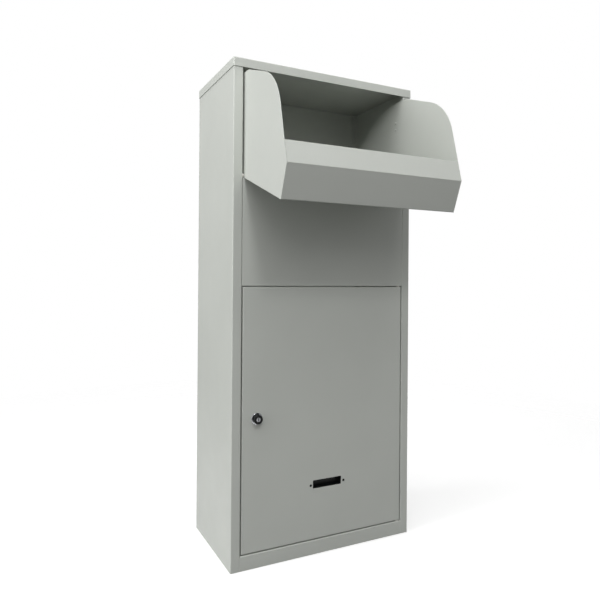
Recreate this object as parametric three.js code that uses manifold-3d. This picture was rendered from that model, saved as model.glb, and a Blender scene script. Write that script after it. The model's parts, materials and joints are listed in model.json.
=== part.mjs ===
// Book drop box: a folded sheet-steel cabinet with a tilting hopper above a locked door.
// Millimetres. +Z up, +X to the right of someone facing the door, +Y towards the back.
// The origin is on the floor, under the middle of the cabinet.
import * as THREE from 'three';
import { mergeVertices } from 'three/addons/utils/BufferGeometryUtils.js';
import Module from 'manifold-3d';

const wasm = await Module();
wasm.setup();

// ---------------------------------------------------------------- driving dimensions
const HEIGHT = 1200;
const WIDTH = 506.3;
const DEPTH = 273.4;
const SHEET = 1.2;
const BEND = 1;               // inner radius of a fold
const BEND_STEPS = 3;
const FIT = 0.3;              // gap between two pieces that touch
const REVEAL = 3;             // visible gap round the door

const STILE = 23.3;           // width of the front face of each side panel
const STILE_LIP = 14;         // how far that face is folded back into the cabinet
const FRONT = -DEPTH / 2;
const BACK = DEPTH / 2;
const SIDE = WIDTH / 2;
const STILE_EDGE = SIDE - STILE;
const DOOR_HALF = STILE_EDGE - REVEAL;
const BODY_BOTTOM = SHEET + FIT;
const BACK_SHEET = BACK - SHEET - 2 * FIT;    // y of the side panels' rear face

const REAR_FLANGE = 18;
const FLOOR_FLANGE = { height: 18, start: 20 };   // start: behind the front of the cabinet
const CAP_HEIGHT = 20.9;
const CAP_OVERHANG = 1.75;
const CAP_CORNER = 3;

const RAIL_TOP = 35;          // top of the rail under the door
const RAIL_RETURN = 25;
const DOOR_BOTTOM = RAIL_TOP + REVEAL;
const DOOR_TOP = 665;
const DOOR_DEPTH = 12;
const DOOR_LIP = 11;
const DOOR_AXIS_INSET = 6;    // door axis from the door's edge, and from its front face
const PANEL_BOTTOM = DOOR_TOP + REVEAL;
const PANEL_TOP = 920;
const PANEL_SEAM = 0.4;
const PANEL_RETURN = 12;
const PANEL_HEM = { depth: 3, height: 14 };
const CROSS_RAIL = { above: 4, height: 30, depth: 22 };   // above: over the panel's lower edge
const STOP = { front: STILE_LIP + 0.6, reach: 14, side: 4, bottom: 45, top: 655 };
const BUFFER = { radius: 4.5, tip: 3.2, inset: 6, heights: { lower: 110, upper: 590 } };
const STIFFENER = { x: 120, foot: 32, web: 20, crown: 15, depth: 9, margin: 16 };
const DOOR_PIN = { radius: 2.8, head: 4.3, headHeight: 3, reach: 7, washer: 4.4 };

const HOPPER_TILT = 20.35;    // slope of the open hopper's base, in degrees
const HOPPER_BASE = 218.5;
const HOPPER_FRONT = 76;
const HOPPER_LIP = 116;       // height of the lip above the base
const CHEEK_TOP = 238.5;
const CHEEK_SLANT = 55.2;     // slope of the cheek's front edge, in degrees
const CHEEK_SHOULDER = 128;   // radius of its rounded upper corner
const CHEEK_SWEEP = 241.5;    // radius of its rear edge, which runs round the hopper's axis
const CHEEK_SWEEP_END = 163;  // where that edge ends, in degrees from straight ahead
const CHEEK_OUTER = 226;      // outer face of each cheek, from the middle of the cabinet
const CHEEK_BOSS = 5.4;       // radius of the cheek round its pivot
const PIVOT_DEPTH = 7;        // hopper axis, behind the front of the cabinet
const PIVOT_HEIGHT = 926.2;
const BASE_REAR = -3;         // rear edge of the hopper's base, behind its fold line
const PIVOT = { radius: 3, head: 4.8, headHeight: 2.6, reach: 9, spacer: 4.6, nut: 4.9, nutHeight: 5 };
const STOP_TAB = { front: STILE_LIP + 3, back: STILE_LIP + 17, bottom: 1085, top: 1121, reach: 15, sheet: 2 };
const STOP_BUFFER = { x: STILE_EDGE + 4, half: 5, margin: 4 };
const STOP_RIVET = { radius: 2, head: 3.4, headHeight: 1.4, inset: 5, heights: [1094, 1112] };

const SLOT = { x: 3, z: 173.7, width: 81.4, height: 20.6 };
const SLOT_SCREWS = 94;       // distance between the two screws beside the finger slot
const SCREW_DROP = 1.5;       // how far those screws are below the middle of the slot
const SCREW = { radius: 1.9, head: 3.3, headHeight: 1.7, reach: 7, nut: 4, nutHeight: 3 };
const CUP = { depth: 17, wall: 1.7, flange: 2, clear: 0.4, ears: 8, rim: 4 };

const LOCK = { x: -190, z: 353.5, front: 13, rear: 17.5 };   // front: how far the lock stands out
const LOCK_BODY = { radius: 9.5, nose: 8.6, flange: 14.2, flangeHeight: 3 };
const LOCK_CAP = { radius: 11, wall: 1, nib: 15.6, nibHalf: 2.2 };
const LOCK_PLUG = { radius: 5.4, square: 3.5, keyway: 0.9 };
const LOCK_NUT = { radius: 13.5, height: 4 };
const CAM = { length: 50, width: 15, thickness: 2, tail: 10, screw: 5.2 };

const ROUND = 32;             // sides of a round piece
const BORE = 24;              // sides of a clearance hole
const THROUGH = 5;            // how far a hole's tool runs either side of the place it is given

// ---------------------------------------------------------------- colours
const PAINT = { color: 0xb9bbb6, roughness: 0.5, metalness: 0 };
const BLACK_PLASTIC = { color: 0x161616, roughness: 0.55, metalness: 0 };
const RUBBER = { color: 0x1b1b1b, roughness: 0.85, metalness: 0 };
const CHROME = { color: 0xd2d4d6, roughness: 0.18, metalness: 1 };
const ZINC = { color: 0xa9abac, roughness: 0.38, metalness: 1 };
const NYLON = { color: 0xe6e4dc, roughness: 0.5, metalness: 0 };

// ---------------------------------------------------------------- solids
function toSolid(geometry) {
  const plain = geometry.clone();
  plain.deleteAttribute('normal');
  plain.deleteAttribute('uv');
  const merged = mergeVertices(plain, 1e-4);
  return new wasm.Manifold(new wasm.Mesh({
    numProp: 3,
    vertProperties: new Float32Array(merged.attributes.position.array),
    triVerts: new Uint32Array(merged.index.array),
  }));
}

function toGeometry(solid) {
  const mesh = solid.getMesh();
  const geometry = new THREE.BufferGeometry();
  geometry.setAttribute('position', new THREE.BufferAttribute(mesh.vertProperties, mesh.numProp));
  geometry.setIndex(new THREE.BufferAttribute(mesh.triVerts, 1));
  geometry.computeVertexNormals();
  return geometry;
}

function join(first, ...rest) {
  return rest.reduce((sum, solid) => sum.add(solid), first);
}

function cut(first, ...rest) {
  return rest.reduce((left, solid) => left.subtract(solid), first);
}

function extrude(points, depth) {
  const shape = new THREE.Shape(points.map(([u, v]) => new THREE.Vector2(u, v)));
  return new THREE.ExtrudeGeometry(shape, { depth, bevelEnabled: false, steps: 1 });
}

// An outline of [y, z] points, between two places on X.
function prismX(points, from, to) {
  const geometry = extrude(points, to - from);
  geometry.applyMatrix4(new THREE.Matrix4().set(0, 0, 1, from, 1, 0, 0, 0, 0, 1, 0, 0, 0, 0, 0, 1));
  return toSolid(geometry);
}

// An outline of [x, z] points, between two places on Y.
function prismY(points, from, to) {
  const geometry = extrude(points.map(([x, z]) => [z, x]), to - from);
  geometry.applyMatrix4(new THREE.Matrix4().set(0, 1, 0, 0, 0, 0, 1, from, 1, 0, 0, 0, 0, 0, 0, 1));
  return toSolid(geometry);
}

// An outline of [x, y] points, between two places on Z.
function prismZ(points, from, to) {
  const geometry = extrude(points, to - from);
  geometry.translate(0, 0, from);
  return toSolid(geometry);
}

function block([x0, x1], [y0, y1], [z0, z1]) {
  const geometry = new THREE.BoxGeometry(x1 - x0, y1 - y0, z1 - z0);
  geometry.translate((x0 + x1) / 2, (y0 + y1) / 2, (z0 + z1) / 2);
  return toSolid(geometry);
}

// A turned piece: [distance along the axis, radius] points, from one end of the axis to the other.
function turned(profile, origin, direction, sides = ROUND) {
  const points = profile.map(([along, radius]) => new THREE.Vector2(radius, along));
  const geometry = new THREE.LatheGeometry(points, sides);
  const turn = new THREE.Quaternion().setFromUnitVectors(
    new THREE.Vector3(0, 1, 0), new THREE.Vector3(...direction));
  geometry.applyQuaternion(turn);
  geometry.translate(...origin);
  return toSolid(geometry);
}

function rod(radius, from, length, direction, sides = BORE) {
  return turned([[0, 0], [0, radius], [length, radius], [length, 0]], from, direction, sides);
}

// A clearance hole's faceted tool, large enough that its flats clear the round pin in it.
function bore(radius, from, length, direction) {
  return rod(radius / Math.cos(Math.PI / BORE), from, length, direction);
}

// A tool for a hole through a sheet at a place, for a pin of this radius.
function hole(radius, place, direction) {
  const start = place.map((value, i) => value - direction[i] * THROUGH);
  return bore(radius + FIT, start, 2 * THROUGH, direction);
}

function ring(outer, inner, from, length, direction, sides = ROUND) {
  const back = from.map((value, i) => value - direction[i]);
  return cut(rod(outer, from, length, direction, sides), bore(inner + FIT, back, length + 2, direction));
}

// The closed outline of a folded sheet: its outer line with rounded bends, and that line moved
// to its right by the sheet's thickness.
function folded(line, thickness = SHEET) {
  const face = [];
  const inside = [];
  const trace = (point, normal) => {
    face.push(point);
    inside.push([point[0] + normal[0] * thickness, point[1] + normal[1] * thickness]);
  };
  const headings = line.slice(1).map((end, i) => heading(line[i], end));
  trace(line[0], rightOf(headings[0]));
  for (let i = 1; i < line.length - 1; i += 1) {
    const turn = Math.atan2(Math.sin(headings[i] - headings[i - 1]),
      Math.cos(headings[i] - headings[i - 1]));
    const side = turn < 0 ? 1 : -1;
    const radius = turn < 0 ? BEND + thickness : BEND;
    const tangent = radius * Math.tan(Math.abs(turn) / 2);
    const start = [0, 1].map((k) => line[i][k] - unit(headings[i - 1])[k] * tangent);
    const centre = [0, 1].map((k) => start[k] + rightOf(headings[i - 1])[k] * radius * side);
    for (let step = 0; step <= BEND_STEPS; step += 1) {
      const normal = rightOf(headings[i - 1] + turn * step / BEND_STEPS);
      trace([0, 1].map((k) => centre[k] - normal[k] * radius * side), normal);
    }
  }
  trace(line.at(-1), rightOf(headings.at(-1)));
  return [...face, ...inside.reverse()];
}

function heading([x0, y0], [x1, y1]) {
  return Math.atan2(y1 - y0, x1 - x0);
}

function unit(angle) {
  return [Math.cos(angle), Math.sin(angle)];
}

function rightOf(angle) {
  return [Math.sin(angle), -Math.cos(angle)];
}

function arc([cx, cy], radius, fromDegrees, toDegrees, steps) {
  return Array.from({ length: steps + 1 }, (_, i) => {
    const angle = THREE.MathUtils.degToRad(fromDegrees + (toDegrees - fromDegrees) * i / steps);
    return [cx + radius * Math.cos(angle), cy + radius * Math.sin(angle)];
  });
}

function roundedRectangle(halfWidth, halfDepth, radius, steps = 4) {
  const x = halfWidth - radius;
  const y = halfDepth - radius;
  return [[x, y, 0], [-x, y, 90], [-x, -y, 180], [x, -y, 270]]
    .flatMap(([cx, cy, start]) => arc([cx, cy], radius, start, start + 90, steps));
}

function mirrorX(points) {
  return points.map(([x, y]) => [-x, y]).reverse();
}

// ---------------------------------------------------------------- cabinet shell
// The y of a place behind the front face of the cabinet.
function behind(depth) {
  return FRONT + depth;
}

function sidePanel(side) {
  const line = [
    [-STILE_EDGE, behind(STILE_LIP)],
    [-STILE_EDGE, FRONT],
    [-SIDE, FRONT],
    [-SIDE, BACK_SHEET],
    [-SIDE + REAR_FLANGE, BACK_SHEET],
  ];
  const outline = side < 0 ? folded(line) : mirrorX(folded(line));
  const panel = prismZ(outline, BODY_BOTTOM, HEIGHT - SHEET - FIT);
  return cut(panel, hole(PIVOT.radius, [side * STILE_EDGE, behind(PIVOT_DEPTH), PIVOT_HEIGHT], [1, 0, 0]));
}

function backPanel() {
  return block([-SIDE, SIDE], [BACK - SHEET, BACK], [BODY_BOTTOM, HEIGHT - SHEET - FIT]);
}

function floorPan() {
  const inner = SIDE - SHEET - FIT;
  const rear = BACK_SHEET - SHEET - FIT;
  const plate = block([-SIDE, SIDE], [FRONT, BACK], [0, SHEET]);
  const sides = [-1, 1].map((side) => {
    const [a, b] = [side * inner, side * (inner - SHEET)].sort((p, q) => p - q);
    return block([a, b], [behind(FLOOR_FLANGE.start), rear], [SHEET / 2, FLOOR_FLANGE.height]);
  });
  const back = block([-inner, inner], [rear - SHEET, rear], [SHEET / 2, FLOOR_FLANGE.height]);
  return join(plate, ...sides, back);
}

function bottomRail() {
  const line = [
    [FRONT, BODY_BOTTOM],
    [FRONT, RAIL_TOP],
    [behind(RAIL_RETURN), RAIL_TOP],
  ];
  const rail = prismX(folded(line), -STILE_EDGE + FIT, STILE_EDGE - FIT);
  return cut(rail, doorPinHole(RAIL_TOP));
}

function topCap() {
  const half = [SIDE + CAP_OVERHANG, BACK + CAP_OVERHANG];
  const base = HEIGHT - CAP_HEIGHT;
  const below = base - THROUGH;
  const lid = prismZ(roundedRectangle(...half, CAP_CORNER), base, HEIGHT);
  const across = prismX(softEdged(-half[1], half[1], below, HEIGHT), -half[0], half[0]);
  const along = prismY(softEdged(-half[0], half[0], below, HEIGHT), -half[1], half[1]);
  const inner = roundedRectangle(half[0] - SHEET, half[1] - SHEET, CAP_CORNER - SHEET);
  return cut(lid.intersect(across).intersect(along), prismZ(inner, below, HEIGHT - SHEET));
}

// A rectangle whose two far corners are rounded like a fold.
function softEdged(from, to, near, far) {
  const radius = BEND + SHEET;
  return [
    [from, near],
    [to, near],
    ...arc([to - radius, far - radius], radius, 0, 90, BEND_STEPS),
    ...arc([from + radius, far - radius], radius, 90, 180, BEND_STEPS),
  ];
}

// The fixed panel between the door and the hopper: returns below and at the sides, a hem on top.
function upperFrontPanel() {
  const half = STILE_EDGE - PANEL_SEAM;
  const face = block([-half, half], [FRONT, behind(SHEET)], [PANEL_BOTTOM, PANEL_TOP]);
  const hem = block([-half, half], [FRONT, behind(PANEL_HEM.depth)],
    [PANEL_TOP - PANEL_HEM.height, PANEL_TOP]);
  const bottom = block([-half, half], [FRONT, behind(PANEL_RETURN)],
    [PANEL_BOTTOM, PANEL_BOTTOM + SHEET]);
  const sides = [[-half, -half + SHEET], [half - SHEET, half]].map((x) =>
    block(x, [FRONT, behind(PANEL_RETURN)], [PANEL_BOTTOM, PANEL_TOP - PANEL_HEM.height]));
  return cut(join(face, hem, bottom, ...sides), doorPinHole(PANEL_BOTTOM));
}

// A channel from side to side, behind the fixed panel, that stiffens the front frame.
function crossRail() {
  const front = behind(STILE_LIP + FIT);
  const back = front + CROSS_RAIL.depth;
  const low = PANEL_BOTTOM + CROSS_RAIL.above;
  const high = low + CROSS_RAIL.height;
  const line = [[back, low], [front, low], [front, high], [back, high]];
  const half = SIDE - SHEET - FIT;
  return prismX(folded(line), -half, half);
}

// An angle behind the door's free edge, which the closed door meets through two buffers.
function doorStopStrip() {
  const outside = -STILE_EDGE - SHEET - FIT;
  const face = behind(STOP.front);
  const line = [
    [outside - SHEET, behind(STOP.side)],
    [outside - SHEET, face + SHEET],
    [-STILE_EDGE + STOP.reach, face + SHEET],
  ];
  return prismZ(folded(line), STOP.bottom, STOP.top);
}

function doorBuffer(z) {
  const base = behind(STOP.front) - FIT;
  const thickness = STOP.front - DOOR_DEPTH - 2 * FIT;
  const profile = [
    [0, 0], [0, BUFFER.radius], [thickness / 2, BUFFER.radius], [thickness, BUFFER.tip], [thickness, 0],
  ];
  return turned(profile, [-DOOR_HALF + BUFFER.inset, base, z], [0, -1, 0], BORE);
}

// ---------------------------------------------------------------- hopper
// The hopper is drawn level: [forward from the front of the cabinet, height above its base].
const TILT = THREE.MathUtils.degToRad(HOPPER_TILT);
const HINGE = [0, PANEL_TOP + 2 * FIT];
const AXIS = level(-PIVOT_DEPTH, PIVOT_HEIGHT);

function level(out, z) {
  const [u, v] = [out - HINGE[0], z - HINGE[1]];
  return [u * Math.cos(TILT) - v * Math.sin(TILT), u * Math.sin(TILT) + v * Math.cos(TILT)];
}

// A level [forward, up] point, as a [y, z] point of the open hopper.
function tilted([forward, up]) {
  const out = HINGE[0] + forward * Math.cos(TILT) + up * Math.sin(TILT);
  return [FRONT - out, HINGE[1] - forward * Math.sin(TILT) + up * Math.cos(TILT)];
}

// The cheek's front edge slants up to a rounded corner; its rear edge is an arc round the axis.
function cheekOutline() {
  const slant = THREE.MathUtils.degToRad(CHEEK_SLANT);
  const corner = HOPPER_BASE - (CHEEK_TOP - HOPPER_FRONT) / Math.tan(slant);
  const centre = [corner - CHEEK_SHOULDER * Math.tan(slant / 2), CHEEK_TOP - CHEEK_SHOULDER];
  const sweepStart = 180 - degrees(Math.asin((CHEEK_TOP - AXIS[1]) / CHEEK_SWEEP));
  const bossEnd = 360 - degrees(Math.asin(AXIS[1] / CHEEK_BOSS));
  return [
    [HOPPER_BASE, 0],
    [HOPPER_BASE, HOPPER_FRONT],
    ...arc(centre, CHEEK_SHOULDER, 90 - CHEEK_SLANT, 90, 12),
    ...arc(AXIS, CHEEK_SWEEP, sweepStart, CHEEK_SWEEP_END, 16),
    ...arc(AXIS, CHEEK_BOSS, 180, bossEnd, 8),
  ];
}

function degrees(radians) {
  return THREE.MathUtils.radToDeg(radians);
}

function cheek(side) {
  const [from, to] = side < 0
    ? [-CHEEK_OUTER, -CHEEK_OUTER + SHEET]
    : [CHEEK_OUTER - SHEET, CHEEK_OUTER];
  const plate = prismX(cheekOutline().map(tilted), from, to);
  const rivets = STOP_RIVET.heights.map((z) =>
    rivetHole([from, behind(STOP_TAB.back - STOP_RIVET.inset), z]));
  return cut(plate, hole(PIVOT.radius, [from, ...tilted(AXIS)], [1, 0, 0]), ...rivets);
}

function rivetHole(place) {
  return hole(STOP_RIVET.radius, place, [1, 0, 0]);
}

function hopperPan() {
  const half = CHEEK_OUTER - SHEET - FIT;
  const slant = THREE.MathUtils.degToRad(CHEEK_SLANT);
  const lip = HOPPER_BASE - (HOPPER_LIP - HOPPER_FRONT) / Math.tan(slant);
  const line = [
    [BASE_REAR, 0],
    [HOPPER_BASE, 0],
    [HOPPER_BASE, HOPPER_FRONT],
    [lip, HOPPER_LIP],
  ];
  return prismX(folded(line.map(tilted)), -half, half);
}

// An angle on each cheek whose outer leg meets the fold of the stile when the hopper is open.
function stopTab(side) {
  const inner = CHEEK_OUTER + FIT;
  const line = [
    [-inner, behind(STOP_TAB.back)],
    [-inner, behind(STOP_TAB.front)],
    [-inner - STOP_TAB.reach, behind(STOP_TAB.front)],
  ];
  const outline = folded(line, STOP_TAB.sheet);
  const tab = prismZ(side < 0 ? outline : mirrorX(outline), STOP_TAB.bottom, STOP_TAB.top);
  const holes = STOP_RIVET.heights.map((z) =>
    rivetHole([side * inner, behind(STOP_TAB.back - STOP_RIVET.inset), z]));
  return cut(tab, ...holes);
}

function stopBuffer(side) {
  const base = behind(STOP_TAB.front) - FIT;
  const thickness = STOP_TAB.front - STILE_LIP - 2 * FIT;
  const x = side * STOP_BUFFER.x;
  return block([x - STOP_BUFFER.half, x + STOP_BUFFER.half], [base - thickness, base],
    [STOP_TAB.bottom + STOP_BUFFER.margin, STOP_TAB.top - STOP_BUFFER.margin]);
}

// A rivet through the cheek and its stop angle, with a low head on each side.
function stopRivet(side, z) {
  const { radius, head, headHeight } = STOP_RIVET;
  const start = side * (CHEEK_OUTER - SHEET - FIT);
  const end = SHEET + STOP_TAB.sheet + 3 * FIT;
  const profile = [
    [-headHeight, 0], [-headHeight, radius], [-headHeight / 2, head - FIT], [0, head], [0, radius],
    [end, radius], [end, head], [end + headHeight / 2, head - FIT], [end + headHeight, radius],
    [end + headHeight, 0],
  ];
  return turned(profile, [start, behind(STOP_TAB.back - STOP_RIVET.inset), z], [side, 0, 0], BORE);
}

// A place on the hopper's axis.
function onAxis(x) {
  return [x, behind(PIVOT_DEPTH), PIVOT_HEIGHT];
}

// The bolt that each cheek turns on: its head is inside the hopper, its nut behind the stile.
function pivotBolt(side) {
  const { radius, head, headHeight } = PIVOT;
  const start = CHEEK_OUTER - SHEET - FIT;
  const length = STILE_EDGE + PIVOT.reach - start;
  const chamfer = radius / 5;
  const profile = [
    [-headHeight, 0], [-headHeight, radius], [-headHeight * 0.7, head - FIT], [0, head], [0, radius],
    [length - chamfer, radius], [length, radius - chamfer], [length, 0],
  ];
  return turned(profile, onAxis(side * start), [side, 0, 0]);
}

function pivotSpacer(side) {
  const from = CHEEK_OUTER + FIT;
  const length = STILE_EDGE - CHEEK_OUTER - 2 * FIT;
  return ring(PIVOT.spacer, PIVOT.radius, onAxis(side * from), length, [side, 0, 0]);
}

function pivotNut(side) {
  const from = STILE_EDGE + SHEET + FIT;
  return ring(PIVOT.nut, PIVOT.radius, onAxis(side * from), PIVOT.nutHeight, [side, 0, 0], 6);
}

// ---------------------------------------------------------------- door
const DOOR_AXIS = [DOOR_HALF - DOOR_AXIS_INSET, behind(DOOR_AXIS_INSET)];

function doorPinHole(z) {
  return hole(DOOR_PIN.radius, [...DOOR_AXIS, z], [0, 0, 1]);
}

function slotOutline(halfWidth, halfHeight, radius) {
  return roundedRectangle(halfWidth, halfHeight, radius, 3)
    .map(([x, z]) => [x + SLOT.x, z + SLOT.z]);
}

// A place on the middle line of one of the two screws beside the slot.
function onScrew(side, depth) {
  return [SLOT.x + side * SLOT_SCREWS / 2, behind(depth), SLOT.z - SCREW_DROP];
}

// A place on the middle line of the lock.
function onLock(depth) {
  return [LOCK.x, behind(depth), LOCK.z];
}

// A shallow tray: the face, four returns and a lip behind each return.
function doorPanel() {
  const x = [-DOOR_HALF, DOOR_HALF];
  const z = [DOOR_BOTTOM, DOOR_TOP];
  const grow = ([a, b], by) => [a + by, b - by];
  const turnFront = (points) => points.map(([across, depth]) => [across, -depth]);
  const wide = prismZ(turnFront(softEdged(...x, -behind(DOOR_DEPTH), -FRONT)), ...z);
  const tall = prismX(softEdged(...z, -behind(DOOR_DEPTH), -FRONT).map(([u, v]) => [-v, u]), ...x);
  const shell = cut(
    wide.intersect(tall),
    block(grow(x, SHEET), [behind(SHEET), behind(DOOR_DEPTH - SHEET)], grow(z, SHEET)),
    block(grow(x, DOOR_LIP), [behind(SHEET), behind(DOOR_DEPTH + THROUGH)], grow(z, DOOR_LIP)),
  );
  const slot = prismY(slotOutline(SLOT.width / 2, SLOT.height / 2, 2), behind(-THROUGH), behind(THROUGH));
  const screws = [-1, 1].map((side) => hole(SCREW.radius, onScrew(side, 0), [0, 1, 0]));
  const lock = hole(LOCK_BODY.radius, onLock(0), [0, 1, 0]);
  return cut(shell, doorPinHole(DOOR_BOTTOM), doorPinHole(DOOR_TOP), lock, slot, ...screws);
}

// A hat-shaped stiffener, standing behind the door's face.
function doorStiffener() {
  const { x, foot, web, crown, depth, margin } = STIFFENER;
  const back = behind(SHEET + FIT);
  const line = [
    [x + foot, back], [x + web, back], [x + crown, back + depth],
    [x - crown, back + depth], [x - web, back], [x - foot, back],
  ];
  return prismZ(folded(line), DOOR_BOTTOM + margin, DOOR_TOP - margin);
}

// The cup behind the finger slot: a flange against the door's face, and a closed well.
function handleCup() {
  const face = SHEET + FIT;
  const inner = [SLOT.width / 2 + CUP.clear, SLOT.height / 2 + CUP.clear];
  const outer = inner.map((half) => half + CUP.wall);
  const flange = prismY(slotOutline(SLOT_SCREWS / 2 + CUP.ears, outer[1] + CUP.rim, CUP.rim),
    behind(face), behind(face + CUP.flange));
  const well = prismY(slotOutline(...outer, 3), behind(face), behind(face + CUP.depth));
  const hollow = prismY(slotOutline(...inner, 2), FRONT, behind(face + CUP.depth - CUP.wall));
  const holes = [-1, 1].map((side) => hole(SCREW.radius, onScrew(side, face), [0, 1, 0]));
  return cut(join(flange, well), hollow, ...holes);
}

function handleScrew(side) {
  const { radius, head, headHeight } = SCREW;
  const length = SHEET + CUP.flange + SCREW.reach;
  const profile = [
    [-headHeight, 0], [-headHeight, radius], [-headHeight / 2, head - FIT], [-FIT, head], [-FIT, radius],
    [length, radius], [length, 0],
  ];
  return turned(profile, onScrew(side, 0), [0, 1, 0], BORE);
}

function handleNut(side) {
  const start = SHEET + CUP.flange + 2 * FIT;
  return ring(SCREW.nut, SCREW.radius, onScrew(side, start), SCREW.nutHeight, [0, 1, 0], 6);
}

function doorPin(up) {
  const { radius, head, headHeight } = DOOR_PIN;
  const start = up > 0 ? RAIL_TOP - SHEET - FIT : PANEL_BOTTOM + SHEET + FIT;
  const length = SHEET + FIT + REVEAL + SHEET + DOOR_PIN.reach;
  const profile = [
    [-headHeight, 0], [-headHeight, head - 2 * FIT], [2 * FIT - headHeight, head], [0, head], [0, radius],
    [length - 1, radius], [length, radius - 1], [length, 0],
  ];
  return turned(profile, [...DOOR_AXIS, start], [0, 0, up]);
}

function doorWasher(bottom) {
  const place = [...DOOR_AXIS, bottom + FIT];
  return ring(DOOR_PIN.washer, DOOR_PIN.radius, place, REVEAL - 2 * FIT, [0, 0, 1]);
}

// ---------------------------------------------------------------- cam lock
const ALONG = [0, 1, 0];
const NOSE = LOCK.front - LOCK_CAP.wall - FIT;    // how far the housing stands out under its cap

function lockHousing() {
  const { radius, nose, flange, flangeHeight } = LOCK_BODY;
  const rear = LOCK.rear - 5 * FIT;
  const profile = [
    [-NOSE, 0], [-NOSE, nose], [-flangeHeight, nose], [-flangeHeight, flange - 1], [1 - flangeHeight, flange],
    [-FIT, flange], [-FIT, radius], [rear, radius], [rear, 0],
  ];
  const body = turned(profile, onLock(0), ALONG);
  return cut(body, bore(LOCK_PLUG.radius + FIT, onLock(-2 * LOCK.front), 4 * LOCK.rear, ALONG));
}

// The dark cap over the housing's nose, with a nib at the top that shows where the key goes in.
function lockCap() {
  const { radius, wall, nib, nibHalf } = LOCK_CAP;
  const rear = LOCK_BODY.flangeHeight + FIT;
  const edge = LOCK.front - wall;
  const profile = [
    [-LOCK.front, 0], [-LOCK.front, radius - wall], [-edge, radius], [-rear, radius], [-rear, 0],
  ];
  const foot = LOCK.z + radius - wall;
  const wedge = prismY([[LOCK.x - nibHalf, foot], [LOCK.x + nibHalf, foot], [LOCK.x, LOCK.z + nib]],
    behind(-edge), behind(-edge / 2));
  return cut(join(turned(profile, onLock(0), ALONG), wedge),
    bore(LOCK_PLUG.radius + FIT, onLock(-2 * LOCK.front), 2 * LOCK.front, ALONG),
    bore(LOCK_BODY.nose + FIT, onLock(-edge), LOCK.front, ALONG));
}

function lockNut() {
  return ring(LOCK_NUT.radius, LOCK_BODY.radius, onLock(SHEET + FIT), LOCK_NUT.height, ALONG, 6);
}

// A square block round the lock's middle line.
function lockSquare(half, from, to) {
  return block([LOCK.x - half, LOCK.x + half], [behind(from), behind(to)], [LOCK.z - half, LOCK.z + half]);
}

// The plug turns in the housing; its square end carries the cam.
function lockPlug() {
  const { radius, square, keyway } = LOCK_PLUG;
  const face = LOCK.front - LOCK_CAP.wall;
  const rear = LOCK.rear - 2 * FIT;
  const profile = [[-face, 0], [-face, radius - FIT], [FIT - face, radius], [rear, radius], [rear, 0]];
  const slot = block([LOCK.x - keyway, LOCK.x + keyway], [behind(-LOCK.front), behind(-FIT)],
    [LOCK.z - square, LOCK.z + square]);
  const end = lockSquare(square, rear - 1, LOCK.rear + CAM.thickness + FIT);
  return cut(join(turned(profile, onLock(0), ALONG), end), slot);
}

function lockCam() {
  const half = CAM.width / 2;
  const outline = [
    [LOCK.x + half, LOCK.z - CAM.tail],
    ...arc([LOCK.x, LOCK.z + CAM.length - half], half, 0, 180, 10),
    [LOCK.x - half, LOCK.z - CAM.tail],
  ];
  return cut(prismY(outline, behind(LOCK.rear), behind(LOCK.rear + CAM.thickness)),
    lockSquare(LOCK_PLUG.square + FIT, LOCK.rear - 1, LOCK.rear + CAM.thickness + 1));
}

function lockCamScrew() {
  const head = CAM.screw;
  const profile = [[0, 0], [0, head], [head / 3, head], [head / 2, head * 2 / 3], [head / 2, 0]];
  return turned(profile, onLock(LOCK.rear + CAM.thickness + 2 * FIT), ALONG, BORE);
}

// ---------------------------------------------------------------- the whole box
const model = new THREE.Group();
model.name = 'book_drop_box';

function add(name, solid, look) {
  const mesh = new THREE.Mesh(toGeometry(solid), new THREE.MeshStandardMaterial(look));
  mesh.name = name;
  model.add(mesh);
}

add('left_side_panel', sidePanel(-1), PAINT);
add('right_side_panel', sidePanel(1), PAINT);
add('back_panel', backPanel(), PAINT);
add('floor_pan', floorPan(), PAINT);
add('bottom_front_rail', bottomRail(), PAINT);
add('top_cap', topCap(), PAINT);
add('upper_front_panel', upperFrontPanel(), PAINT);
add('mid_cross_rail', crossRail(), PAINT);
add('door_stop_strip', doorStopStrip(), PAINT);
add('door_buffer_lower', doorBuffer(BUFFER.heights.lower), RUBBER);
add('door_buffer_upper', doorBuffer(BUFFER.heights.upper), RUBBER);

add('hopper_pan', hopperPan(), PAINT);
for (const [name, side] of [['left', -1], ['right', 1]]) {
  add(`hopper_${name}_cheek`, cheek(side), PAINT);
  add(`hopper_stop_${name}`, stopTab(side), ZINC);
  add(`hopper_stop_buffer_${name}`, stopBuffer(side), RUBBER);
  add(`hopper_stop_rivet_${name}_lower`, stopRivet(side, STOP_RIVET.heights[0]), PAINT);
  add(`hopper_stop_rivet_${name}_upper`, stopRivet(side, STOP_RIVET.heights[1]), PAINT);
  add(`hopper_pivot_bolt_${name}`, pivotBolt(side), ZINC);
  add(`hopper_pivot_spacer_${name}`, pivotSpacer(side), NYLON);
  add(`hopper_pivot_nut_${name}`, pivotNut(side), ZINC);
}

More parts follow.
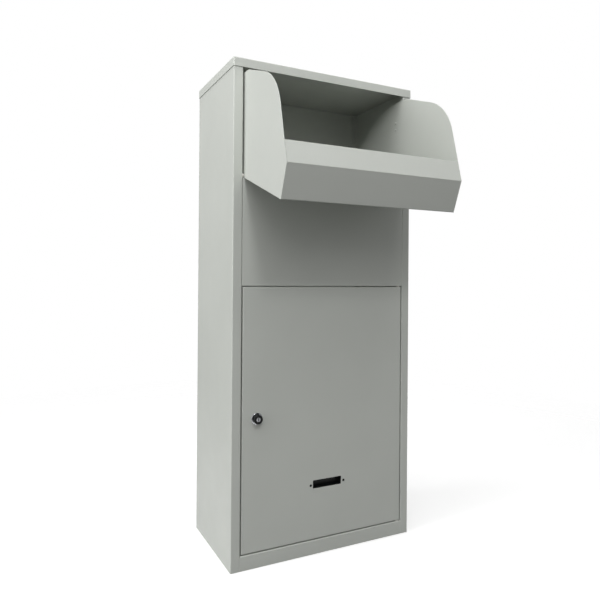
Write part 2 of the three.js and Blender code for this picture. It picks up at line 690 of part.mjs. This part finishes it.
add('door_panel', doorPanel(), PAINT);
add('door_stiffener', doorStiffener(), PAINT);
add('handle_cup', handleCup(), BLACK_PLASTIC);
for (const [name, side] of [['left', -1], ['right', 1]]) {
  add(`handle_screw_${name}`, handleScrew(side), BLACK_PLASTIC);
  add(`handle_nut_${name}`, handleNut(side), ZINC);
}
add('door_pivot_pin_lower', doorPin(1), ZINC);
add('door_pivot_pin_upper', doorPin(-1), ZINC);
add('door_pivot_washer_lower', doorWasher(RAIL_TOP), NYLON);
add('door_pivot_washer_upper', doorWasher(DOOR_TOP), NYLON);
add('lock_housing', lockHousing(), CHROME);
add('lock_cap', lockCap(), BLACK_PLASTIC);
add('lock_nut', lockNut(), ZINC);
add('lock_plug', lockPlug(), CHROME);
add('lock_cam', lockCam(), ZINC);
add('lock_cam_screw', lockCamScrew(), ZINC);

export default model;
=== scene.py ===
# Book drop box: looks, camera and light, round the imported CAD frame. Metres.
import json
import math

import bpy
from mathutils import Matrix, Vector


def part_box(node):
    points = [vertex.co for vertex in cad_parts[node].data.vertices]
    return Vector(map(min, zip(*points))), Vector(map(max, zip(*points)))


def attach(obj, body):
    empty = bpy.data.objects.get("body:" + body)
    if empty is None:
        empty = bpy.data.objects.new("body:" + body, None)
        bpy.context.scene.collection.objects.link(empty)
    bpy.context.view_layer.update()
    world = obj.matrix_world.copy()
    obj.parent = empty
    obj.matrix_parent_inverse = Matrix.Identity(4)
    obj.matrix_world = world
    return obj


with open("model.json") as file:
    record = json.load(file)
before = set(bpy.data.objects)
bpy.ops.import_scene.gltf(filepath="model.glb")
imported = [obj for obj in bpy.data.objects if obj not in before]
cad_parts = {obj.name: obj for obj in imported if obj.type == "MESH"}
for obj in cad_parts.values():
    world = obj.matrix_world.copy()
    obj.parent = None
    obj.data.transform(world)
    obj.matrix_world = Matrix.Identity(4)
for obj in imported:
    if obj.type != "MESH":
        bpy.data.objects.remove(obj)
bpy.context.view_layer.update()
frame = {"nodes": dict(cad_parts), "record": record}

MM = 0.001

# ------------------------------------------------------------------ where things are
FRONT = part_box("door_panel")[0].y
RAIL_LOW, RAIL_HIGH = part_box("bottom_front_rail")
RAIL_SEAM = 0.3 * MM      # gap between the rail under the door and each stile
STILE_EDGE = RAIL_HIGH.x + RAIL_SEAM

# ------------------------------------------------------------------ looks
WHITE = (1, 1, 1, 1)
PAINT = (0.565, 0.586, 0.547)
BLOTCH_SHADE = 0.95       # how much darker the blotches and the speckle are than the paint
SPECKLE_SHADE = 0.93
WORN_AND_HIGHLIT_SHADE = 1.45         # how much lighter the line on an edge is: part wear, part painted highlight
WORN_AND_HIGHLIT_RADIUS = 1.5 * MM
FOLDED, FLAT = 0.8, 0.995    # cosines of the turn of a surface at a full edge, and on a flat face
MIX_FIRST, MIX_SECOND, MIX_OUT = 6, 7, 2    # colour sockets of a mix node

# ------------------------------------------------------------------ edges
WELD_DISTANCE = 0.001 * MM
BEVEL_ANGLE = math.radians(40)     # sharper edges are rounded off
SMOOTH_ANGLE = math.radians(32)    # sharper edges are not shaded over
EDGE_RADIUS = {
    "powder_coat": 0.3 * MM,
    "chrome": 0.25 * MM,
    "black_plastic": 0.3 * MM,
    "rubber": 0.4 * MM,
    "zinc": 0.2 * MM,
    "nylon": 0.2 * MM,
}

# ------------------------------------------------------------------ camera, light and floor
CAMERA_PLACE = (-0.7024, -1.3756, 0.6837)
CAMERA_PAN, CAMERA_TILT, CAMERA_ROLL = (math.radians(angle) for angle in (-26.75, 90.1, 0.42))
LENS, SENSOR, SHIFT = 33.9, 36, -0.036
LIGHTS = (
    # name, place, what it faces, width and height, power in watts
    ("key", (-0.49, -1.63, 2.06), (0, FRONT, 0.9), (0.3, 0.3), 7.5),
    ("left_box", (-3.2, -0.3, 1.5), (-0.25, -0.1, 0.9), (2.6, 2.8), 40),
    ("left_rear_box", (-3.0, 0.2, 1.6), (-0.25, 0, 0.8), (2.0, 2.6), 33),
    ("high_left", (-1.7, -0.46, 2.65), (0.22, -0.16, 1.1), (0.7, 0.7), 5),
    ("top_box", (-0.3, -0.9, 3.2), (0, -0.1, 1.0), (2.4, 2.0), 40),
    ("front_box", (-1.5, -2.7, 2.4), (-0.1, FRONT, 0.9), (1.8, 1.6), 16),
    ("right_fill", (2.6, -1.8, 1.4), (0.1, FRONT, 0.9), (1.6, 2.0), 6.5),
    ("rear_fill", (2.0, 2.9, 2.0), (0.1, 0.1, 0.7), (2.0, 2.0), 26),
)
LIGHT_ABOVE, LIGHT_BELOW = 0.3, 0.14    # strength of the surround's light from above and below
HORIZON = 0.15                          # half the height of the change from one to the other
FLOOR_RADIUS = 2.6
FLOOR_SIDES = 96
FLOOR_DROP = 0.5 * MM
FLOOR_FADE = (0.5, 2.4)                 # distances between which the floor fades out
FLOOR_GLOW = 0.3
FLOOR_SHADES = ((0.93, 0.93, 0.93), (0.9, 0.9, 0.9))


# ------------------------------------------------------------------ node helpers
class Recipe:
    """A material's node tree, with short calls for the nodes that its pattern needs."""

    def __init__(self, name):
        self.material = bpy.data.materials.new(name)
        self.material.use_nodes = True
        self.tree = self.material.node_tree
        self.shader = self.tree.nodes["Principled BSDF"]
        self.place = self.add("ShaderNodeTexCoord").outputs["Object"]

    def add(self, kind, **settings):
        node = self.tree.nodes.new(kind)
        for key, value in settings.items():
            setattr(node, key, value)
        return node

    def link(self, source, target):
        self.tree.links.new(source, target)

    def noise(self, size, detail=2.0, stretch=(1, 1, 1)):
        """Noise whose grain is about size metres across, from 0 to 1."""
        mapping = self.add("ShaderNodeMapping")
        mapping.inputs["Scale"].default_value = stretch
        self.link(self.place, mapping.inputs["Vector"])
        node = self.add("ShaderNodeTexNoise")
        node.inputs["Scale"].default_value = 1 / size
        node.inputs["Detail"].default_value = detail
        self.link(mapping.outputs["Vector"], node.inputs["Vector"])
        return node.outputs["Fac"]

    def spread(self, value, low, high, start=0.3, end=0.7):
        """Maps start to end onto low to high."""
        node = self.add("ShaderNodeMapRange")
        node.inputs["From Min"].default_value = start
        node.inputs["From Max"].default_value = end
        node.inputs["To Min"].default_value = low
        node.inputs["To Max"].default_value = high
        self.link(value, node.inputs["Value"])
        return node.outputs["Result"]

    def blend(self, factor, first, second):
        node = self.add("ShaderNodeMix", data_type="RGBA")
        self.link(factor, node.inputs["Factor"])
        for value, socket in ((first, node.inputs[MIX_FIRST]), (second, node.inputs[MIX_SECOND])):
            if isinstance(value, tuple):
                socket.default_value = (*value, 1)
            else:
                self.link(value, socket)
        return node.outputs[MIX_OUT]

    def bump(self, *layers):
        """Stacks (height, strength, distance in metres) layers into the shader's normal."""
        normal = None
        for height, strength, distance in layers:
            node = self.add("ShaderNodeBump")
            node.inputs["Strength"].default_value = strength
            node.inputs["Distance"].default_value = distance
            self.link(height, node.inputs["Height"])
            if normal is not None:
                self.link(normal, node.inputs["Normal"])
            normal = node.outputs["Normal"]
        self.link(normal, self.shader.inputs["Normal"])

    def edges(self, radius):
        """1 on edges and folds tighter than about radius metres, and 0 on flat faces."""
        bevel = self.add("ShaderNodeBevel", samples=4)
        bevel.inputs["Radius"].default_value = radius
        flat = self.add("ShaderNodeNewGeometry").outputs["True Normal"]
        dot = self.add("ShaderNodeVectorMath", operation="DOT_PRODUCT")
        self.link(bevel.outputs["Normal"], dot.inputs[0])
        self.link(flat, dot.inputs[1])
        return self.spread(dot.outputs["Value"], 1, 0, FOLDED, FLAT)


def powder_coat(name, paint):
    """Light grey powder coat: fine orange peel, faint blotches, and a thin lighter line on edges,
    part wear and part painted highlight.
    """
    recipe = Recipe(name)
    darker = tuple(channel * BLOTCH_SHADE for channel in paint)
    speck = tuple(channel * SPECKLE_SHADE for channel in paint)
    edge = tuple(min(channel * WORN_AND_HIGHLIT_SHADE, 1) for channel in paint)
    blotches = recipe.spread(recipe.noise(0.23, 3), 0, 1)
    speckle = recipe.spread(recipe.noise(1.1 * MM, 1), 0, 0.35, 0.35, 0.75)
    coat = recipe.blend(blotches, paint, darker)
    coat = recipe.blend(speckle, coat, speck)
    # Painted highlight: edges and folds are lightened in patches, part wear and part the light that
    # a bend catches.
    wear_and_highlight = recipe.add("ShaderNodeMath", operation="MULTIPLY")
    recipe.link(recipe.edges(WORN_AND_HIGHLIT_RADIUS), wear_and_highlight.inputs[0])
    recipe.link(recipe.spread(recipe.noise(12 * MM, 4), 0.25, 0.8), wear_and_highlight.inputs[1])
    coat = recipe.blend(wear_and_highlight.outputs[0], coat, edge)
    recipe.link(coat, recipe.shader.inputs["Base Color"])
    gloss = recipe.spread(recipe.noise(45 * MM, 4), 0.4, 0.52)
    recipe.link(gloss, recipe.shader.inputs["Roughness"])
    recipe.shader.inputs["Specular IOR Level"].default_value = 0.42
    recipe.bump(
        (recipe.noise(2.2 * MM, 2), 0.22, 0.05 * MM),
        (recipe.noise(0.6 * MM, 1), 0.12, 0.02 * MM),
    )
    return recipe.material


def moulded(name, colour, roughness, grain, specular=0.5):
    """Moulded plastic or rubber with a fine spark-eroded grain and slightly uneven gloss."""
    recipe = Recipe(name)
    lighter = tuple(channel * 1.5 + 0.002 for channel in colour)
    clouds = recipe.spread(recipe.noise(9 * MM, 3), 0, 1)
    gloss = recipe.spread(recipe.noise(4 * MM, 3), roughness - 0.06, roughness + 0.06)
    recipe.link(recipe.blend(clouds, colour, lighter), recipe.shader.inputs["Base Color"])
    recipe.link(gloss, recipe.shader.inputs["Roughness"])
    recipe.shader.inputs["Specular IOR Level"].default_value = specular
    recipe.bump((recipe.noise(grain, 2), 0.3, 0.04 * MM))
    return recipe.material


def plated(name, colour, roughness, brushed):
    """Plated metal: a nearly even colour, cloudy gloss and fine drawn lines."""
    recipe = Recipe(name)
    dull = tuple(channel * 0.86 for channel in colour)
    clouds = recipe.spread(recipe.noise(5 * MM, 4), 0, 1)
    gloss = recipe.spread(recipe.noise(3 * MM, 3), roughness * 0.8, roughness * 1.3)
    recipe.link(recipe.blend(clouds, colour, dull), recipe.shader.inputs["Base Color"])
    recipe.link(gloss, recipe.shader.inputs["Roughness"])
    recipe.shader.inputs["Metallic"].default_value = 1
    recipe.bump((recipe.noise(0.5 * MM, 2, stretch=(1, brushed, 1)), 0.08, 0.02 * MM))
    return recipe.material


MATERIALS = {
    "powder_coat": powder_coat("powder_coat_light_grey", PAINT),
    "black_plastic": moulded("black_moulded_plastic", (0.004, 0.005, 0.005), 0.38, 0.7 * MM,
                             specular=0.22),
    "rubber": moulded("black_rubber", (0.012, 0.012, 0.012), 0.75, 0.9 * MM, specular=0.3),
    "chrome": plated("chrome_plate", (0.46, 0.47, 0.49), 0.08, brushed=1),
    "zinc": plated("zinc_plate", (0.6, 0.61, 0.63), 0.32, brushed=6),
    "nylon": moulded("natural_nylon", (0.7, 0.69, 0.64), 0.45, 0.8 * MM),
}


# ------------------------------------------------------------------ CAD nodes
def smooth_group():
    """Geometry nodes that shade a mesh smooth, apart from edges sharper than SMOOTH_ANGLE."""
    group = bpy.data.node_groups.new("smooth_by_angle", "GeometryNodeTree")
    group.interface.new_socket("Geometry", in_out="INPUT", socket_type="NodeSocketGeometry")
    group.interface.new_socket("Geometry", in_out="OUTPUT", socket_type="NodeSocketGeometry")
    entry = group.nodes.new("NodeGroupInput")
    leave = group.nodes.new("NodeGroupOutput")
    faces = group.nodes.new("GeometryNodeSetShadeSmooth")
    faces.domain = "FACE"
    edges = group.nodes.new("GeometryNodeSetShadeSmooth")
    edges.domain = "EDGE"
    edges.inputs["Shade Smooth"].default_value = False
    angle = group.nodes.new("GeometryNodeInputMeshEdgeAngle")
    sharp = group.nodes.new("FunctionNodeCompare")
    sharp.data_type = "FLOAT"
    sharp.operation = "GREATER_THAN"
    sharp.inputs[1].default_value = SMOOTH_ANGLE
    group.links.new(entry.outputs[0], faces.inputs["Geometry"])
    group.links.new(angle.outputs["Unsigned Angle"], sharp.inputs[0])
    group.links.new(faces.outputs[0], edges.inputs["Geometry"])
    group.links.new(sharp.outputs[0], edges.inputs["Selection"])
    group.links.new(edges.outputs[0], leave.inputs[0])
    return group


SMOOTH = smooth_group()


def finish_node(node, slot):
    """Rounds a CAD node's sharp edges, shades it and gives it its material."""
    weld = node.modifiers.new("weld", "WELD")
    weld.merge_threshold = WELD_DISTANCE
    bevel = node.modifiers.new("edge", "BEVEL")
    bevel.width = EDGE_RADIUS[slot]
    bevel.segments = 2
    bevel.limit_method = "ANGLE"
    bevel.angle_limit = BEVEL_ANGLE
    bevel.use_clamp_overlap = True
    smooth = node.modifiers.new("smooth", "NODES")
    smooth.node_group = SMOOTH
    level = node.modifiers.new("level", "WEIGHTED_NORMAL")
    level.keep_sharp = True
    node.data.materials.clear()
    node.data.materials.append(MATERIALS[slot])


for row in frame["record"]["subparts"]:
    finish_node(frame["nodes"][row["node"]], row["material_slot"])


# ------------------------------------------------------------------ welded joints
def block(name, low, high):
    """A box between two corners."""
    mesh = bpy.data.meshes.new(name)
    corners = [(x, y, z)
               for x in (low[0], high[0])
               for y in (low[1], high[1])
               for z in (low[2], high[2])]
    faces = [(0, 1, 3, 2), (4, 6, 7, 5), (0, 4, 5, 1), (2, 3, 7, 6), (0, 2, 6, 4), (1, 5, 7, 3)]
    mesh.from_pydata(corners, [], faces)
    piece = bpy.data.objects.new(name, mesh)
    bpy.context.scene.collection.objects.link(piece)
    return piece


def weld_dressing():
    """The ground-off welds, filled with paint, where the rail under the door meets each stile."""
    half = 0.9 * MM       # half the width of the weld
    proud = 0.03 * MM
    bend = 2.2 * MM       # the rail's upper fold, which stays clear
    for name, side in (("left", -1), ("right", 1)):
        x = side * (RAIL_HIGH.x + STILE_EDGE) / 2
        piece = block(f"rail_weld_{name}", (x - half, FRONT - proud, RAIL_LOW.z + half),
                      (x + half, FRONT + half, RAIL_HIGH.z - bend))
        piece.data.materials.append(MATERIALS["powder_coat"])
        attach(piece, "cabinet")


weld_dressing()


# ------------------------------------------------------------------ camera
def make_camera():
    """Stands off the left front corner, a little below the hopper."""
    data = bpy.data.cameras.new("camera")
    data.lens = LENS
    data.sensor_width = SENSOR
    data.shift_y = SHIFT
    data.clip_start = 0.01
    camera = bpy.data.objects.new("camera", data)
    pan = Matrix.Rotation(CAMERA_PAN, 4, "Z")
    tilt = Matrix.Rotation(CAMERA_TILT, 4, "X")
    roll = Matrix.Rotation(CAMERA_ROLL, 4, "Z")
    camera.matrix_world = Matrix.Translation(CAMERA_PLACE) @ pan @ tilt @ roll
    bpy.context.scene.collection.objects.link(camera)
    bpy.context.scene.camera = camera


make_camera()


# ------------------------------------------------------------------ light and floor
def area_light(name, place, target, size, power):
    """A rectangular soft light that faces a point."""
    data = bpy.data.lights.new(name, "AREA")
    data.shape = "RECTANGLE"
    data.size, data.size_y = size
    data.energy = power
    light = bpy.data.objects.new(name, data)
    place, target = Vector(place), Vector(target)
    aim = (target - place).to_track_quat("-Z", "Y").to_matrix().to_4x4()
    light.matrix_world = Matrix.Translation(place) @ aim
    bpy.context.scene.collection.objects.link(light)


for row in LIGHTS:
    area_light(*row)


def white_surround():
    """A plain white backdrop for the camera, and an even light on the object, weaker from below."""
    world = bpy.data.worlds.new("surround")
    world.use_nodes = True
    tree = world.node_tree
    tree.nodes.clear()
    seen = tree.nodes.new("ShaderNodeBackground")
    seen.inputs["Color"].default_value = WHITE
    light = tree.nodes.new("ShaderNodeBackground")
    light.inputs["Color"].default_value = WHITE
    split = tree.nodes.new("ShaderNodeSeparateXYZ")
    ramp = tree.nodes.new("ShaderNodeMapRange")
    ramp.inputs["From Min"].default_value = -HORIZON
    ramp.inputs["From Max"].default_value = HORIZON
    ramp.inputs["To Min"].default_value = LIGHT_BELOW
    ramp.inputs["To Max"].default_value = LIGHT_ABOVE
    path = tree.nodes.new("ShaderNodeLightPath")
    mix = tree.nodes.new("ShaderNodeMixShader")
    out = tree.nodes.new("ShaderNodeOutputWorld")
    tree.links.new(tree.nodes.new("ShaderNodeTexCoord").outputs["Generated"], split.inputs[0])
    tree.links.new(split.outputs["Z"], ramp.inputs["Value"])
    tree.links.new(ramp.outputs[0], light.inputs["Strength"])
    tree.links.new(path.outputs["Is Camera Ray"], mix.inputs[0])
    tree.links.new(light.outputs[0], mix.inputs[1])
    tree.links.new(seen.outputs[0], mix.inputs[2])
    tree.links.new(mix.outputs[0], out.inputs[0])
    bpy.context.scene.world = world


white_surround()


def make_floor():
    """A pale round floor that fades into the white backdrop towards its rim."""
    angles = [side * math.tau / FLOOR_SIDES for side in range(FLOOR_SIDES)]
    rim = [(FLOOR_RADIUS * math.cos(angle), FLOOR_RADIUS * math.sin(angle), 0) for angle in angles]
    mesh = bpy.data.meshes.new("floor")
    mesh.from_pydata(rim, [], [tuple(range(FLOOR_SIDES))])
    floor = bpy.data.objects.new("floor", mesh)
    floor.location.z = -FLOOR_DROP
    bpy.context.scene.collection.objects.link(floor)
    recipe = Recipe("pale_floor")
    clouds = recipe.spread(recipe.noise(0.4, 3), 0, 1)
    recipe.link(recipe.blend(clouds, *FLOOR_SHADES), recipe.shader.inputs["Base Color"])
    recipe.shader.inputs["Roughness"].default_value = 0.8
    recipe.shader.inputs["Emission Color"].default_value = WHITE
    recipe.shader.inputs["Emission Strength"].default_value = FLOOR_GLOW
    length = recipe.add("ShaderNodeVectorMath", operation="LENGTH")
    recipe.link(recipe.place, length.inputs[0])
    fade = recipe.spread(length.outputs["Value"], 1, 0, *FLOOR_FADE)
    recipe.link(fade, recipe.shader.inputs["Alpha"])
    mesh.materials.append(recipe.material)
    floor.visible_diffuse = False    # the floor casts no light up on to the object


make_floor()
bpy.context.scene.view_settings.view_transform = "Standard"
